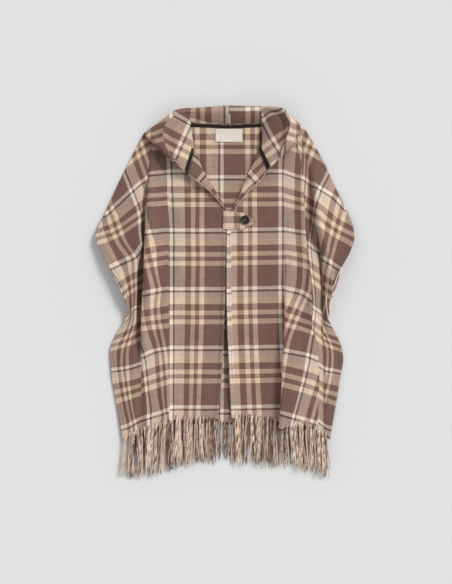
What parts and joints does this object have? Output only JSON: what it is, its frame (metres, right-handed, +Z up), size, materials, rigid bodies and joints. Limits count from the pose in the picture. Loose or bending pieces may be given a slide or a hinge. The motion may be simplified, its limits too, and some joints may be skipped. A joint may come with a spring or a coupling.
{
  "type": "hooded cape laid flat",
  "caption": "Hooded check wool cape with a buttoned tab and fringed hem, laid flat on its back with the neck and arm openings showing.",
  "frame": {"origin": "centre of the garment's box in plan, on the surface it lies on", "axes": "+Z up from the surface, +Y from the hem towards the hood, +X towards the wearer's left"},
  "size_m": [0.5927, 0.8536, 0.039],
  "materials": {
    "check_cloth": "brushed twill in brown, tan and white checks",
    "neck_tape": "ribbed black tape",
    "label": "bare woven satin",
    "button": "dark polished button",
    "fringe_yarn": "twisted wool strands"
  },
  "bodies": {
    "root": {"front_right": "check_cloth", "front_left": "check_cloth", "back": "check_cloth", "hood_right": "check_cloth", "hood_left": "check_cloth", "lapel_right": "check_cloth", "lapel_left": "check_cloth", "neck_tape_back": "neck_tape", "neck_tape_right": "neck_tape", "neck_tape_left": "neck_tape", "label": "label", "tab": "check_cloth", "button": "button", "fringe_right": "fringe_yarn", "fringe_left": "fringe_yarn", "fringe_back": "fringe_yarn"}
  },
  "joints": []
}
